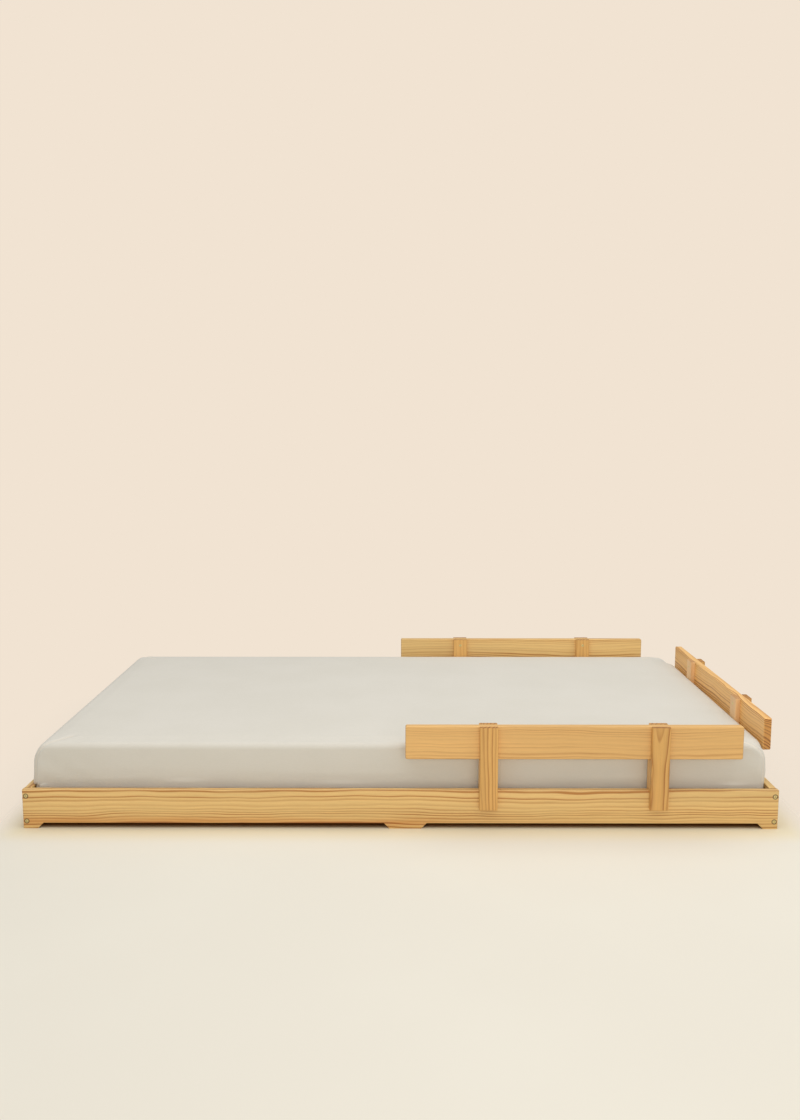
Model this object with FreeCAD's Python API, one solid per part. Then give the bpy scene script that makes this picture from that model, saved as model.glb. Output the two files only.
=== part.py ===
import FreeCAD, Part
import math
import os

from FreeCAD import Vector

# A low pine floor bed with three lift-off guard rails and a mattress in a fitted sheet.
# Millimetres. +X runs along the bed to the head end, +Y to the rear side, +Z up.
# The origin is the bottom centre of the whole object's bounding box, on the floor.

# ---- driving dimensions: mattress --------------------------------------------------
mattress_length = 1905.5            # reaches from the foot end board to the head rail's battens
mattress_width = 1000.0
mattress_thickness = 151.0
mattress_corner_radius = 18.0       # seen from above
mattress_bottom_roll = 22.0         # rounding of the edge all round the underside
foot_edge_roll = 46.0               # rounding of the top edge at the foot end
head_edge_roll = 42.0
side_edge_roll = 15.0
foot_end_swell = 9.0                # how far it bulges above the boards, over the foot end board
head_end_swell = 3.5
side_swell = 4.5
crown_height = 4.0                  # the middle of the top over its edge
crown_run = 190.0
sheet_thickness = 1.2
sheet_hem_width = 120.0             # turned in under the mattress
foot_end_gap = 0.4                  # the mattress is pushed against the foot end board

# ---- driving dimensions: frame -----------------------------------------------------
board_thickness = 19.0
inner_length = 1926.0
inner_width = 1040.0
board_top = 103.5                   # top edge of the base boards above the floor
ledge_height = 15.0                 # underside of the boards between the feet
corner_foot_width = 38.0
middle_foot_width = 82.0
middle_foot_offset = 13.4           # along X from the middle of the bed
edge_easing = 2.5
shortest_long_edge = 100.0          # an edge longer than this runs along the grain

ledger_size = 30.0
ledger_length = 1900.0
ledger_bottom = 17.0
slat_count = 14
slat_width = 75.0
slat_thickness = 19.0
slat_end_gap = 1.5                  # each end of a slat to its side board
slat_margin = 10.0                  # first and last slat to the end boards

# ---- driving dimensions: guard rails -----------------------------------------------
rail_length = 870.0
rail_top = 274.5
rail_bottom = 187.5
rail_thickness = 20.0               # also the thickness of the rest blocks
rail_corner_radius = 5.0
rail_arris = 1.5                    # narrow chamfer round both faces of a rail board
batten_width = 47.0
batten_thickness = 13.0
batten_spacing = 441.0              # centre to centre
outer_batten_bottom = 55.0
inner_batten_bottom = 69.0
front_rail_start = 14.0             # left end, from the middle of the bed
rear_rail_start = 0.0
head_rail_start = 76.0              # near end, from the outer face of the front board

# ---- driving dimensions: countersunk wood screws -----------------------------------
head_diameter = 9.0                 # across corners
head_recess = 0.2                   # head lies this far below the wood
screw_sides = 8                     # the screws are plain eight-sided bodies
corner_screw = (5.0, 60.0)          # diameter, length
ledger_screw = (4.0, 45.0)
slat_screw = (4.0, 40.0)
rail_screw = (4.0, 40.0)
corner_screw_heights = (19.5, 87.0)
rail_screw_heights = (254.5, 207.5, 145.0)
ledger_screw_count = 5

# ---- derived sizes and places ------------------------------------------------------
play = (rail_thickness - board_thickness) / 2
outer_length = inner_length + 2 * board_thickness
outer_width = inner_width + 2 * board_thickness
rail_overhang = play + batten_thickness
bed_x = -rail_overhang / 2          # only the head end carries a rail
left_end = bed_x - outer_length / 2
right_end = bed_x + outer_length / 2
inner_left = left_end + board_thickness
front_face = -outer_width / 2
board_middle = (outer_width - board_thickness) / 2
head_board_middle = right_end - board_thickness / 2
ledger_top = ledger_bottom + ledger_size
slat_top = ledger_top + slat_thickness
slat_pitch = (inner_length - 2 * slat_margin - slat_width) / (slat_count - 1)
mattress_left = inner_left + foot_end_gap + sheet_thickness
mattress_right = mattress_left + mattress_length
mattress_bottom = slat_top + 0.4 + sheet_thickness


# ---- helpers -----------------------------------------------------------------------
def box(x_from, x_to, y_from, y_to, z_from, z_to):
    size = (x_to - x_from, y_to - y_from, z_to - z_from)
    return Part.makeBox(*size, Vector(x_from, y_from, z_from))


def edges_where(solid, test):
    """Edges whose two end points both pass the test."""
    found = []
    for edge in solid.Edges:
        if all(test(vertex.Point) for vertex in edge.Vertexes):
            found.append(edge)
    return found


def near(a, b):
    return abs(a - b) < 0.01


def rounded_along_grain(solid, test):
    """Round the long edges that pass the test."""
    edges = [edge for edge in edges_where(solid, test) if edge.Length > shortest_long_edge]
    return solid.makeFillet(edge_easing, edges)


def faceted_body(rings):
    """A closed body through regular rings of corners, given as (radius, height) pairs."""
    step = 2 * math.pi / screw_sides
    levels = []
    for radius, height in rings:
        turns = [step * (i + 0.5) for i in range(screw_sides)]
        levels.append([Vector(radius * math.cos(t), radius * math.sin(t), height) for t in turns])
    loops = [levels[0], levels[-1]]
    for low, high in zip(levels, levels[1:]):
        for i in range(screw_sides):
            j = (i + 1) % screw_sides
            loops.append([low[i], low[j], high[j], high[i]])
    faces = [Part.Face(Part.makePolygon(loop + loop[:1])) for loop in loops]
    body = Part.Solid(Part.Shell(faces))
    if body.Volume < 0:
        body.reverse()
    return body


def wood_screw(size, skirt=0.0):
    """A countersunk screw along -Z from a wood face at z = 0.

    With a skirt the head reaches up through the face: that shape cuts the hole."""
    diameter, length = size
    head = head_diameter / 2
    shank = diameter / 2
    seat = -head_recess - (head - shank)
    rings = [(shank, -length), (shank, seat), (head, -head_recess)]
    if skirt > 0:
        rings.append((head, skirt))
    return faceted_body(rings)


def placed(solid, point, inward):
    """Turn a screw so that it points along inward from a point on the wood."""
    turn = FreeCAD.Rotation(Vector(0, 0, -1), inward)
    moved = solid.copy()
    moved.Placement = FreeCAD.Placement(point, turn)
    return moved


def screws_at(size, points, inward):
    return [placed(wood_screw(size), point, inward) for point in points]


def drilled(solid, size, points, inward):
    """Cut the holes that the screws at these points sit in."""
    hole = wood_screw(size, skirt=1.0)
    return solid.cut([placed(hole, point, inward) for point in points])


def write(name, solids):
    shape = solids[0] if len(solids) == 1 else Part.makeCompound(solids)
    assert shape.isValid(), name
    shape.exportStep("parts/" + name + ".step")
    print(f"{name:32s} {len(solids):3d} solid(s) {shape.Volume / 1000:9.1f} cm3")


# ---- base boards -------------------------------------------------------------------
def foot_profile(length, middle_foot):
    """Outline of a base board in X and Z, its underside cut into feet at 45 degrees."""
    half = length / 2
    corner = half - corner_foot_width
    points = [(-half, 0), (-half, board_top), (half, board_top), (half, 0)]
    points += [(corner, 0), (corner - ledge_height, ledge_height)]
    if middle_foot is not None:
        right = middle_foot + middle_foot_width / 2
        left = middle_foot - middle_foot_width / 2
        points += [(right + ledge_height, ledge_height), (right, 0)]
        points += [(left, 0), (left - ledge_height, ledge_height)]
    points += [(ledge_height - corner, ledge_height), (-corner, 0)]
    return points


def footed_board(length, middle_foot=None):
    """A board that lies along X, centred on X and Y, standing on z = 0."""
    outline = [Vector(x, -board_thickness / 2, z) for x, z in foot_profile(length, middle_foot)]
    face = Part.Face(Part.makePolygon(outline + outline[:1]))
    return face.extrude(Vector(0, board_thickness, 0))


def eased_board(board, outer_corners):
    """Round the long edges along the top and, on a side board, the outer upright corners."""
    def on_top(point):
        return near(point.z, board_top)

    def on_corner(point):
        return near(abs(point.x), outer_length / 2) and near(point.y, -board_thickness / 2)

    edges = [e for e in edges_where(board, on_top) if e.Length > shortest_long_edge]
    if outer_corners:
        edges += edges_where(board, on_corner)
    return board.makeFillet(edge_easing, edges)


def side_board(outer_side):
    """Front (outer_side -1) or rear (+1) board: one pattern, turned round for the rear."""
    board = eased_board(footed_board(outer_length, middle_foot_offset), True)
    if outer_side > 0:
        board.rotate(Vector(0, 0, 0), Vector(0, 0, 1), 180)
    board.translate(Vector(bed_x, outer_side * board_middle, 0))
    inward = Vector(0, -outer_side, 0)
    board = drilled(board, corner_screw, corner_screw_points(outer_side), inward)
    face_y = outer_side * (inner_width / 2 - ledger_size)
    return drilled(board, ledger_screw, ledger_screw_points(face_y), -inward)


def end_board(x_middle):
    """Foot or head board, between the side boards."""
    board = eased_board(footed_board(inner_width), False)
    board.rotate(Vector(0, 0, 0), Vector(0, 0, 1), 90)
    board.translate(Vector(x_middle, 0, 0))
    for side in (-1, 1):
        board = drilled(board, corner_screw, corner_screw_points(side), Vector(0, -side, 0))
    return board


def corner_screw_points(side):
    points = []
    for x in (left_end + board_thickness / 2, right_end - board_thickness / 2):
        for z in corner_screw_heights:
            points.append(Vector(x, side * outer_width / 2, z))
    return points


def ledger_screw_points(y):
    """Half way between slats, so that they miss the slat screws."""
    first = inner_left + slat_margin + slat_width + (slat_pitch - slat_width) / 2
    step = (slat_count - 2) / (ledger_screw_count - 1) * slat_pitch
    height = ledger_bottom + ledger_size / 2
    return [Vector(first + step * i, y, height) for i in range(ledger_screw_count)]


# ---- ledgers and slats -------------------------------------------------------------
def slat_x(index):
    return inner_left + slat_margin + slat_width / 2 + slat_pitch * index


def slat_screw_points(index):
    reach = inner_width / 2 - ledger_size / 2
    return [Vector(slat_x(index), side * reach, slat_top) for side in (-1, 1)]


def ledger(side):
    inner = side * (inner_width / 2 - ledger_size)
    outer = side * inner_width / 2
    half = ledger_length / 2
    y_from, y_to = sorted((inner, outer))
    strip = box(bed_x - half, bed_x + half, y_from, y_to, ledger_bottom, ledger_top)
    strip = drilled(strip, ledger_screw, ledger_screw_points(inner), Vector(0, side, 0))
    down = Vector(0, 0, -1)
    points = [slat_screw_points(i)[0 if side < 0 else 1] for i in range(slat_count)]
    return drilled(strip, slat_screw, points, down)


def slat(index):
    half_length = inner_width / 2 - slat_end_gap
    half_width = slat_width / 2
    x = slat_x(index)
    board = box(x - half_width, x + half_width, -half_length, half_length, ledger_top, slat_top)
    board = rounded_along_grain(board, lambda p: near(p.z, slat_top))
    return drilled(board, slat_screw, slat_screw_points(index), Vector(0, 0, -1))


# ---- guard rails -------------------------------------------------------------------
# A rail is drawn along X with its middle at the origin and its outer side towards -Y,
# then turned and moved onto its board. Two pairs of battens clasp the board like forks;
# the blocks between them rest on the board's top edge.
def rail_solids():
    half = rail_length / 2
    core = rail_thickness / 2
    clasp = core + batten_thickness

    def rounded_end(point):
        return near(abs(point.x), half)

    board = box(-half, half, -core, core, rail_bottom, rail_top)
    across = [e for e in edges_where(board, rounded_end) if near(e.Length, rail_thickness)]
    board = board.makeFillet(rail_corner_radius, across)
    faces = [e for e in board.Edges if all(near(abs(v.Point.y), core) for v in e.Vertexes)]
    board = board.makeChamfer(rail_arris, [e for e in faces if not near(e.Length, rail_thickness)])
    solids = {"board": board}
    screws = []
    for name, x in (("left", -batten_spacing / 2), ("right", batten_spacing / 2)):
        x_from = x - batten_width / 2
        x_to = x + batten_width / 2
        outer = box(x_from, x_to, -clasp, -core, outer_batten_bottom, rail_top)
        outer = rounded_along_grain(outer, lambda p: near(p.y, -clasp))
        inner = box(x_from, x_to, core, clasp, inner_batten_bottom, rail_top)
        inner = rounded_along_grain(inner, lambda p: near(p.y, clasp))
        block = box(x_from, x_to, -core, core, board_top, rail_bottom)
        points = [Vector(x, clasp, z) for z in rail_screw_heights]
        outward = Vector(0, -1, 0)
        screws += screws_at(rail_screw, points, outward)
        solids["board"] = drilled(solids["board"], rail_screw, points, outward)
        solids[name + "_outer_batten"] = drilled(outer, rail_screw, points, outward)
        solids[name + "_inner_batten"] = drilled(inner, rail_screw, points, outward)
        solids[name + "_rest_block"] = drilled(block, rail_screw, points, outward)
    return {part: [solid] for part, solid in solids.items()} | {"screws": screws}


def write_rail(rail, turn, middle):
    for part, solids in rail_solids().items():
        for solid in solids:
            solid.rotate(Vector(0, 0, 0), Vector(0, 0, 1), turn)
            solid.translate(middle)
        write(rail + "_" + part, solids)


# ---- mattress and fitted sheet -----------------------------------------------------
def roll_inset(radius, depth):
    """How far a rounded top edge is drawn in at a depth below its highest line."""
    if depth >= radius:
        return 0.0
    return radius - math.sqrt(radius ** 2 - (radius - depth) ** 2)


def mattress_rows():
    """Rows from bottom to top: height, and the insets of foot end, head end and sides.

    The bottom edge is rolled. Above the boards the faces swell in a shallow bow, and the
    top edge is rolled into a low crown, wider at the ends than along the sides."""
    edge = mattress_thickness - crown_height
    above_boards = board_top - mattress_bottom
    rolls = (foot_edge_roll, head_edge_roll, side_edge_roll)
    swells = (foot_end_swell, head_end_swell, side_swell)
    rows = []
    for angle in (0, 45, 90):
        a = math.radians(angle)
        inset = mattress_bottom_roll * (1 - math.sin(a))
        rows.append((mattress_bottom_roll * (1 - math.cos(a)), inset, inset, inset))
    rows.append((above_boards, 0.0, 0.0, 0.0))
    for share in (0.27, 0.54, 0.73, 0.865, 0.94, 0.98, 1.0):
        height = above_boards + (edge - above_boards) * share
        bow = math.sin(math.pi * share)
        insets = [roll_inset(roll, edge - height) - swell * bow for roll, swell in zip(rolls, swells)]
        rows.append((height, *insets))
    for share in (0.4, 1.0):
        rise = crown_height * math.sin(share * math.pi / 2)
        rows.append((edge + rise, *[roll + crown_run * share for roll in rolls]))
    return rows


def rounded_outline(x_from, x_to, half_width, radius, z):
    """Four straight lines and four quarter arcs."""
    edges = []
    centre = (x_from + x_to) / 2
    x = (x_to - x_from) / 2 - radius
    y = half_width - radius
    mid = radius * math.sqrt(0.5)
    corners = [(centre + x, y, 1, 1), (centre - x, y, -1, 1)]
    corners += [(centre - x, -y, -1, -1), (centre + x, -y, 1, -1)]
    for index, (cx, cy, sx, sy) in enumerate(corners):
        on_side = Vector(cx + sx * radius, cy, z)
        on_end = Vector(cx, cy + sy * radius, z)
        start, stop = (on_side, on_end) if index % 2 == 0 else (on_end, on_side)
        edges.append(Part.Arc(start, Vector(cx + sx * mid, cy + sy * mid, z), stop).toShape())
        nx, ny, tx, ty = corners[(index + 1) % 4]
        after = Vector(nx, ny + ty * radius, z) if index % 2 == 0 else Vector(nx + tx * radius, ny, z)
        edges.append(Part.LineSegment(stop, after).toShape())
    return Part.Wire(edges)


def cushion(grow):
    """The mattress body, grown by an even skin."""
    wires = []
    for height, foot, head, side in mattress_rows():
        lift = grow * (2 * height / mattress_thickness - 1)
        x_from = mattress_left + foot - grow
        x_to = mattress_right - head + grow
        half_width = mattress_width / 2 - side + grow
        radius = mattress_corner_radius + grow
        wires.append(rounded_outline(x_from, x_to, half_width, radius, height + lift))
    body = Part.makeLoft(wires, True, True)
    body.translate(Vector(0, 0, mattress_bottom))
    return body


def fitted_sheet(mattress):
    """A thin skin over the mattress, open below inside its turned-in hem."""
    skin = cushion(sheet_thickness).cut(mattress)
    x_from = mattress_left + sheet_hem_width
    x_to = mattress_right - sheet_hem_width
    half_width = mattress_width / 2 - sheet_hem_width
    rim = rounded_outline(x_from, x_to, half_width, mattress_corner_radius, 0)
    opening = Part.Face(rim).extrude(Vector(0, 0, 3 * sheet_thickness))
    opening.translate(Vector(0, 0, mattress_bottom - 2 * sheet_thickness))
    return skin.cut(opening)


# ---- the whole bed -----------------------------------------------------------------
def main():
    os.makedirs("parts", exist_ok=True)
    write("front_side_board", [side_board(-1)])
    write("rear_side_board", [side_board(1)])
    write("foot_end_board", [end_board(left_end + board_thickness / 2)])
    write("head_end_board", [end_board(head_board_middle)])
    write("front_ledger", [ledger(-1)])
    write("rear_ledger", [ledger(1)])
    for index in range(slat_count):
        write(f"slat_{index + 1:02d}", [slat(index)])

    screws = []
    for side in (-1, 1):
        screws += screws_at(corner_screw, corner_screw_points(side), Vector(0, -side, 0))
    write("corner_screws", screws)
    screws = []
    for side in (-1, 1):
        points = ledger_screw_points(side * (inner_width / 2 - ledger_size))
        screws += screws_at(ledger_screw, points, Vector(0, side, 0))
    write("ledger_screws", screws)
    screws = []
    for index in range(slat_count):
        screws += screws_at(slat_screw, slat_screw_points(index), Vector(0, 0, -1))
    write("slat_screws", screws)

    half = rail_length / 2
    write_rail("front_rail", 0, Vector(bed_x + front_rail_start + half, -board_middle, 0))
    write_rail("rear_rail", 180, Vector(bed_x + rear_rail_start + half, board_middle, 0))
    write_rail("head_rail", 90, Vector(head_board_middle, front_face + head_rail_start + half, 0))

    mattress = cushion(0)
    write("mattress", [mattress])
    write("fitted_sheet", [fitted_sheet(mattress)])


main()
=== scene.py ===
# %% [markdown]
# # A low pine floor bed
# The real bed is a shallow box of planed pine boards. Slats carry a mattress in a plain
# fitted sheet, and three short guard rails clasp the boards like forks and lift off.
# The wooden parts come from the CAD model as they are, because their shapes are plain
# and right. Blender adds what the CAD leaves out: the grain of the wood, the screws with
# their recesses, and the soft mattress and sheet. The frame has to be loaded first,
# because everything below is placed by it.

# %% Load the fixed frame
import math
import random

import bmesh
import bpy
from mathutils import Matrix, Vector, noise


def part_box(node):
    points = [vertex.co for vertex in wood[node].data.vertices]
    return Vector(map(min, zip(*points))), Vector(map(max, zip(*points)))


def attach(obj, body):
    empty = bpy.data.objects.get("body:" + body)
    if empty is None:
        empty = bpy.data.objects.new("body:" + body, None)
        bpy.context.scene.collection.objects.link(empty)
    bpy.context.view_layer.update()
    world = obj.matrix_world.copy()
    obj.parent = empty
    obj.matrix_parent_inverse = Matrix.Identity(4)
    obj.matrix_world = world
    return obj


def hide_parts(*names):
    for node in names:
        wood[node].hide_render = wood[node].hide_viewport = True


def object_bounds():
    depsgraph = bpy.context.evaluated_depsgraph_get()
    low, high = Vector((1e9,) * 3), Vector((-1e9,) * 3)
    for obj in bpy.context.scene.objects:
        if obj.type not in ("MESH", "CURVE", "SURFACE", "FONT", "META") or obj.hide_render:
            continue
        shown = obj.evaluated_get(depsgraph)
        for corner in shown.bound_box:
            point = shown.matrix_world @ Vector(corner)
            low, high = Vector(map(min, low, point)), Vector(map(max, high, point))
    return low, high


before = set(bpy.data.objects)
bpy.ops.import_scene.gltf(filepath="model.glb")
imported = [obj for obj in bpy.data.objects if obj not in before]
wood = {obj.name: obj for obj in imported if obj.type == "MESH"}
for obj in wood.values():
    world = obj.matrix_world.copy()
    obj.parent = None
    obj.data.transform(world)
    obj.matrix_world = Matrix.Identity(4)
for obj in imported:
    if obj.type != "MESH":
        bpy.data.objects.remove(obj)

cad_low, cad_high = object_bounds()
print("CAD model from", [round(v, 4) for v in cad_low], "to", [round(v, 4) for v in cad_high])
MM = 0.001

# %% [markdown]
# ## The camera
# A picture is only comparable with another if both are seen from the same place. The
# bed is seen from three metres in front of it and one metre above the floor, looking
# slightly down. The long side of the picture is 36 mm of film, so the lens is given as
# on a small-format camera.

# %% Place the camera
def add_object(name, data):
    """An object for this mesh, lamp or camera, put in the scene."""
    made = bpy.data.objects.new(name, data)
    bpy.context.collection.objects.link(made)
    return made


looking_down, rolled = 0.13335, 0.00338      # radians
camera_data = bpy.data.cameras.new("studio_camera")
camera_data.sensor_width = 36.0
camera_data.lens = 32.008
camera = add_object("studio_camera", camera_data)
camera.location = (0.0015, -3.0173, 1.0385)
camera.rotation_euler = (math.pi / 2 - looking_down, 0.0, rolled)
scene = bpy.context.scene
scene.camera = camera
scene.view_settings.view_transform = "Standard"
print("camera", round(camera.location.length, 3), "m from the middle of the floor")

# %% [markdown]
# ## Node trees without repetition
# Materials and Geometry Nodes are both trees of nodes. Adding a node always takes the
# same four steps: make it, choose its mode, fill in the inputs that are fixed, and link
# the others. One helper does all four, so that the trees below read like formulas. An
# input that is given a plain value keeps it on its own socket, as the export needs.

# %% Helpers for node trees
def fill_in(tree, node, inputs):
    """Fill in a node's inputs. Each is a plain value, or a socket to link to."""
    for name, value in inputs.items():
        if isinstance(value, bpy.types.NodeSocket):
            tree.links.new(value, node.inputs[name])
        else:
            node.inputs[name].default_value = value


def add_node(tree, kind, inputs=None, **settings):
    """Add a node, with its settings and its inputs."""
    made = tree.nodes.new(kind)
    for name, value in settings.items():
        setattr(made, name, value)
    fill_in(tree, made, inputs or {})
    return made


def calc(tree, operation, *values):
    """One Math node, and its result."""
    inputs = dict(enumerate(values))
    return add_node(tree, "ShaderNodeMath", inputs, operation=operation).outputs[0]


def product(tree, first, *others):
    """Several numbers multiplied, one after the other."""
    for other in others:
        first = calc(tree, "MULTIPLY", first, other)
    return first


def vector_calc(tree, operation, *values):
    """One Vector Math node, and its result: a vector, or a number for a length."""
    names = (0, "Scale") if operation == "SCALE" else (0, 1)
    inputs = dict(zip(names, values))
    node = add_node(tree, "ShaderNodeVectorMath", inputs, operation=operation)
    return node.outputs["Value" if operation == "LENGTH" else "Vector"]


def axes_of(tree, vector):
    """The X, Y and Z of a vector, as three sockets."""
    return add_node(tree, "ShaderNodeSeparateXYZ", {0: vector}).outputs


def vector_of(tree, x, y, z):
    """A vector from three numbers."""
    return add_node(tree, "ShaderNodeCombineXYZ", {0: x, 1: y, 2: z}).outputs[0]


def fade(tree, value, low, high, to_low=0.0, to_high=1.0):
    """A smooth step from to_low to to_high while the value goes from low to high."""
    inputs = {"Value": value, "From Min": low, "From Max": high,
              "To Min": to_low, "To Max": to_high}
    return add_node(tree, "ShaderNodeMapRange", inputs, interpolation_type="SMOOTHSTEP").outputs[0]


def mix_colors(tree, factor, a, b):
    """Colour a where the factor is 0, colour b where it is 1. Sockets 6 and 7 take colours."""
    return add_node(tree, "ShaderNodeMix", {0: factor, 6: a, 7: b}, data_type="RGBA").outputs[2]


def tint(tree, color, factor, filter_color):
    """The colour seen through a filter where the factor is 1, and unchanged where it is 0."""
    clear = (1, 1, 1, 1)
    return vector_calc(tree, "MULTIPLY", color, mix_colors(tree, factor, clear, filter_color))


def noise_at(tree, vector, scale, detail=2.0, roughness=0.5, out="Fac"):
    """A Noise texture at these coordinates."""
    inputs = {"Vector": vector, "Scale": scale, "Detail": detail, "Roughness": roughness}
    return add_node(tree, "ShaderNodeTexNoise", inputs).outputs[out]


def stretched(tree, vector, along, across):
    """Squeeze coordinates so that a pattern comes out long along X."""
    return vector_calc(tree, "MULTIPLY", vector, (along, across, across))


def new_group(name, inputs, outputs):
    """An empty shader node group with named sockets: (tree, inputs' sockets, output node)."""
    tree = bpy.data.node_groups.new(name, "ShaderNodeTree")
    for label, kind, default in inputs:
        socket = tree.interface.new_socket(name=label, in_out="INPUT", socket_type=kind)
        socket.default_value = default
    for label, kind in outputs:
        tree.interface.new_socket(name=label, in_out="OUTPUT", socket_type=kind)
    source = tree.nodes.new("NodeGroupInput")
    return tree, source.outputs, tree.nodes.new("NodeGroupOutput")


def new_material(name):
    """A material with only its Principled shader: (material, tree, shader)."""
    material = bpy.data.materials.new(name)
    material.use_nodes = True
    return material, material.node_tree, material.node_tree.nodes["Principled BSDF"]


def finish_with(piece, material):
    """Give a piece this one material."""
    piece.data.materials.clear()
    piece.data.materials.append(material)


# %% [markdown]
# ## The studio
# The bed stands on a pale cream floor that runs into a wall of almost the same tone,
# with no line between them. Here the floor is a large sheet that turns transparent with
# distance and lets the world's tone show, so the seam is invisible from every side and
# no wall stands in the way of a view from behind.

# %% Lay the floor
def mesh_object(name, points, edges=(), faces=()):
    """A mesh of these points, edges and faces, as an object in the scene."""
    mesh = bpy.data.meshes.new(name)
    mesh.from_pydata(points, edges, faces)
    return add_object(name, mesh)


floor_reach = 40.0
floor_corners = [(x * floor_reach, y * floor_reach, 0)
                 for x, y in ((-1, -1), (1, -1), (1, 1), (-1, 1))]
studio_floor = mesh_object("studio_floor", floor_corners, faces=[(0, 1, 2, 3)])
print("a floor of", 2 * floor_reach, "m")

# %% [markdown]
# The floor's paint shows in two patches: a wide one in front of the bed, and a narrow
# band all round it that carries the soft shadows. Both fade out. Beside the bed a painted
# reflection of the wood makes the colour a little yellower, and under the bed painted
# shade darkens it to brown, because light that gets in there has met wood several times.

# %% Paint the floor
floor_paint, tree, shader = new_material("studio_floor_paint")
place = add_node(tree, "ShaderNodeTexCoord").outputs["Object"]
half_bed = ((cad_high.x - cad_low.x) / 2, (cad_high.y - cad_low.y) / 2, 0.0)
patch_middle, patch_fade = (0.0, -0.9, 0.0), (1.6, 3.4)
front_edge = (-0.6, -0.1)                               # the patch ends under the bed
end_run = (half_bed[0] - 0.02, half_bed[0] + 0.12)      # past its ends, a little before it
place_x, place_y, _ = axes_of(tree, place)
sideways = calc(tree, "ABSOLUTE", place_x)
reach = vector_calc(tree, "LENGTH", vector_calc(tree, "SUBTRACT", place, patch_middle))
backwards = calc(tree, "ADD", place_y, fade(tree, sideways, *end_run, 0.0, 0.3))
in_front = product(tree, fade(tree, reach, *patch_fade, 1.0, 0.0),
                   fade(tree, backwards, *front_edge, 1.0, 0.0))

past_edges = vector_calc(tree, "SUBTRACT", vector_calc(tree, "ABSOLUTE", place), half_bed)
outside = vector_calc(tree, "LENGTH",
                      vector_calc(tree, "MAXIMUM", past_edges, (0.0, 0.0, 0.0)))
band_fade, painted_reflection_reach, shade_edge = (0.03, 0.35), (0.0, 0.09), (-0.040, -0.014)
beside_bed = fade(tree, outside, *band_fade, 1.0, 0.0)
past_ends = fade(tree, sideways, half_bed[0], half_bed[0] + 0.10, 1.0, 0.2)
shown = calc(tree, "MAXIMUM", in_front, product(tree, beside_bed, past_ends))

mottled = fade(tree, noise_at(tree, place, 1.3, 3.0), 0.35, 0.65)
cream = mix_colors(tree, mottled, (0.785, 0.77, 0.70, 1), (0.797, 0.785, 0.715, 1))
# painted reflection: beside the bed the floor's colour is made warmer, as if lit by light off the
# wood
painted_wood_reflection = fade(tree, outside, *painted_reflection_reach, 1.0, 0.0)
cream = tint(tree, cream, painted_wood_reflection, (1.03, 0.98, 0.83, 1))
# painted shade: under the bed the floor's colour is darkened to brown
past_end, past_side, _ = axes_of(tree, past_edges)
painted_shade_under_bed = fade(tree, calc(tree, "MAXIMUM", past_end, past_side), *shade_edge, 1.0, 0.0)
cream = tint(tree, cream, painted_shade_under_bed, (0.28, 0.14, 0.05, 1))
fill_in(tree, shader, {
    "Base Color": cream, "Roughness": 0.85, "Specular IOR Level": 0.1, "Alpha": shown})
finish_with(studio_floor, floor_paint)
print("floor paint:", len(tree.nodes), "nodes")

# %% [markdown]
# One world gives two tones. The camera sees the wall's tone, and everything else is lit
# by a weaker, whiter one. Three softboxes do the rest: a large one above for the top of
# the bed, a warmer one in front for the boards' faces, and a small one on the right.

# %% The wall's tone and the lamps
world = bpy.data.worlds.new("studio_world")
scene.world = world
world.use_nodes = True
tree = world.node_tree
tree.nodes.clear()
wall_tone, room_tone, room_strength = (0.880, 0.768, 0.645, 1), (1.0, 0.955, 0.89, 1), 0.4
seen = add_node(tree, "ShaderNodeBackground", {"Color": wall_tone, "Strength": 1.0})
cast = add_node(tree, "ShaderNodeBackground", {"Color": room_tone, "Strength": room_strength})
camera_ray = add_node(tree, "ShaderNodeLightPath").outputs["Is Camera Ray"]
both = add_node(tree, "ShaderNodeMixShader",
                {0: camera_ray, 1: cast.outputs[0], 2: seen.outputs[0]})
add_node(tree, "ShaderNodeOutputWorld", {"Surface": both.outputs[0]})


def add_softbox(name, place, aim, size, watts, glow):
    """A large rectangular lamp at a place, turned to a point it is aimed at."""
    data = bpy.data.lights.new(name, "AREA")
    data.shape = "RECTANGLE"
    data.size, data.size_y = size
    data.energy = watts
    data.color = glow
    lamp = add_object(name, data)
    lamp.location = place
    lamp.rotation_euler = (Vector(aim) - Vector(place)).to_track_quat("-Z", "Y").to_euler()


add_softbox("softbox_above", place=(0.2, -0.5, 3.2), aim=(0.1, 0.0, 0.1),
            size=(5.5, 4.5), watts=101, glow=(1.0, 0.975, 0.945))
add_softbox("softbox_front", place=(0.4, -4.2, 1.4), aim=(0.0, -0.4, 0.1),
            size=(3.0, 1.6), watts=33, glow=(1.0, 0.865, 0.74))
add_softbox("softbox_right", place=(3.6, -1.0, 1.8), aim=(0.6, 0.0, 0.0),
            size=(2.0, 2.0), watts=16, glow=(1.0, 0.97, 0.93))
print("world and three softboxes")

# %% [markdown]
# ## Pine
# Pine is a stack of cones round the pith: each year adds a pale, wide layer and a
# narrow, dark one. A saw cuts flat through them, and the pattern on a board is where
# the cut meets the layers. So the grain is made as a solid texture, the way the tree
# grew it: the distance from a wavy pith that lies just behind the board, cut into
# rings. Faces, edges and ends then agree with each other by themselves, and where the
# pith swings close to the face the lines open into the well-known flame pattern. Long
# fibres, resin ducts and slow drifts of colour are laid over it.

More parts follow.
